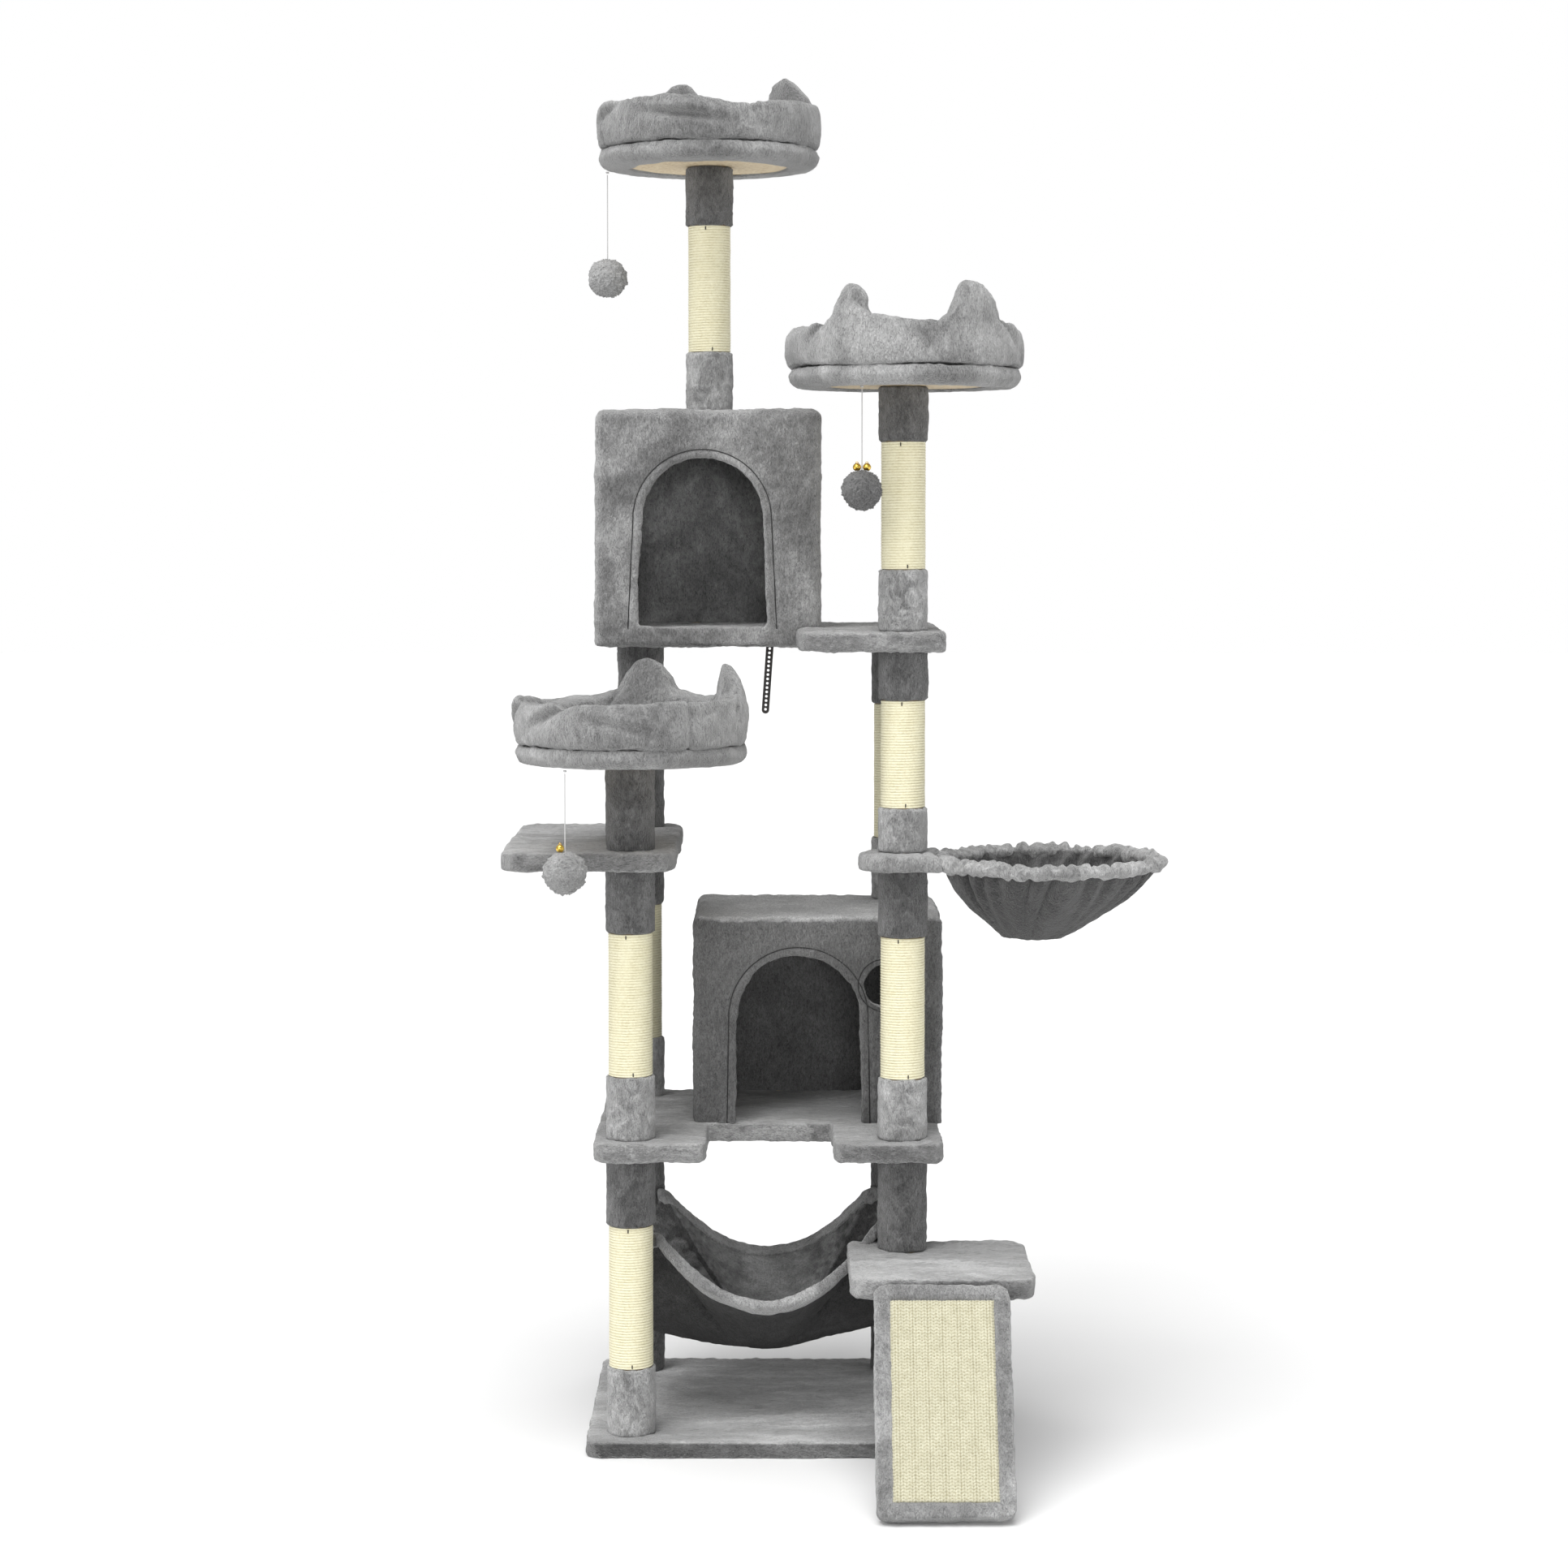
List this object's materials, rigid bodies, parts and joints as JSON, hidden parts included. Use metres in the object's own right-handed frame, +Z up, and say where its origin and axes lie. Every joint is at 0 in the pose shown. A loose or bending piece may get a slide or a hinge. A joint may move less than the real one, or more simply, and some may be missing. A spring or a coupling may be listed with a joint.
{
  "type": "cat tree",
  "caption": "Tall floor-standing cat tree: sisal and plush posts joining padded shelves, two arched houses, eared perches, a hanging basket, a hammock, a ramp and swinging toys.",
  "frame": {"origin": "centre of the base's underside, on the floor", "axes": "+X to the right as seen from the front, +Y away from the front, +Z up"},
  "size_m": [0.985, 0.8571, 2.074],
  "materials": {
    "particle_board": "bare pressed board, matt",
    "grey_plush": "short mid-grey plush pile, brushed in patches",
    "dark_plush": "dark grey plush, back and gathers in shade",
    "cardboard": "wound brown cardboard",
    "sisal_rope": "cream sisal rope wound tightly",
    "sisal_mat": "cream woven sisal mat",
    "steel": "zinc plated steel",
    "white_elastic": "thin white elastic cord",
    "pompom": "fluffy grey plush ball",
    "gold_bell": "polished gold bell",
    "black_strap": "black nylon strap with punched holes"
  },
  "bodies": {
    "tree": {"base_board": "particle_board", "base_cover": "grey_plush", "step_board": "particle_board", "step_cover": "grey_plush", "lower_platform_board": "particle_board", "lower_platform_cover": "grey_plush", "left_shelf_board": "particle_board", "left_shelf_cover": "grey_plush", "upper_platform_board": "particle_board", "upper_platform_cover": "grey_plush", "ramp_board": "particle_board", "ramp_cover": "grey_plush", "ramp_mat": "sisal_mat", "lower_house_front": "particle_board", "lower_house_walls": "particle_board", "lower_house_roof": "particle_board", "lower_house_cover": "grey_plush", "upper_house_front": "particle_board", "upper_house_walls": "particle_board", "upper_house_roof": "particle_board", "upper_house_cover": "grey_plush", "front_left_tubes": "cardboard", "front_right_tubes": "cardboard", "back_tubes": "cardboard", "top_tube": "cardboard", "front_left_sleeves": "grey_plush", "back_left_sleeves": "grey_plush", "front_right_sleeves": "grey_plush", "back_right_sleeves": "grey_plush", "top_sleeves": "grey_plush", "front_left_sisal": "sisal_rope", "front_right_sisal": "sisal_rope", "back_sisal": "sisal_rope", "top_sisal": "sisal_rope", "perch_boards": "particle_board", "perch_covers": "grey_plush", "left_perch_bolster": "grey_plush", "right_perch_bolster": "grey_plush", "top_perch_bolster": "grey_plush", "basket_bracket_board": "particle_board", "basket_bracket_cover": "grey_plush", "basket_hoop": "steel", "basket_sack": "dark_plush", "hammock": "dark_plush", "strap_screw": "steel", "post_end_plugs": "particle_board", "joining_studs": "steel", "post_bolts": "steel"},
    "top_knot": {"top_toy_knot": "white_elastic"},
    "top_toy": {"top_toy_cord": "white_elastic", "top_toy_ball": "pompom"},
    "right_knot": {"right_toy_knot": "white_elastic"},
    "right_toy": {"right_toy_cord": "white_elastic", "right_toy_ball": "pompom", "right_toy_bells": "gold_bell"},
    "left_knot": {"left_toy_knot": "white_elastic"},
    "left_toy": {"left_toy_cord": "white_elastic", "left_toy_ball": "pompom", "left_toy_bell": "gold_bell"},
    "strap": {"wall_strap": "black_strap"}
  },
  "joints": [
    {"name": "top_toy_front_back", "type": "hinge", "parent": "tree", "child": "top_knot", "pos_m": [-0.249, 0.11, 1.9235], "axis": [1, 0, 0], "range_deg": [-60, 60]},
    {"name": "top_toy_side", "type": "hinge", "parent": "top_knot", "child": "top_toy", "pos_m": [-0.249, 0.11, 1.9235], "axis": [0, 1, 0], "range_deg": [-28, 60]},
    {"name": "right_toy_front_back", "type": "hinge", "parent": "tree", "child": "right_knot", "pos_m": [0.139, -0.272, 1.5765], "axis": [1, 0, 0], "range_deg": [-60, 8]},
    {"name": "right_toy_side", "type": "hinge", "parent": "right_knot", "child": "right_toy", "pos_m": [0.139, -0.272, 1.5765], "axis": [0, 1, 0], "range_deg": [-10, 60]},
    {"name": "left_toy_front_back", "type": "hinge", "parent": "tree", "child": "left_knot", "pos_m": [-0.29, -0.32, 1.0215], "axis": [1, 0, 0], "range_deg": [-60, 14]},
    {"name": "left_toy_side", "type": "hinge", "parent": "left_knot", "child": "left_toy", "pos_m": [-0.29, -0.32, 1.0215], "axis": [0, 1, 0], "range_deg": [-55, 60]},
    {"name": "strap_swing", "type": "hinge", "parent": "tree", "child": "strap", "pos_m": [0.005, 0.2468, 1.205], "axis": [0, 1, 0], "range_deg": [-80, 80]}
  ]
}
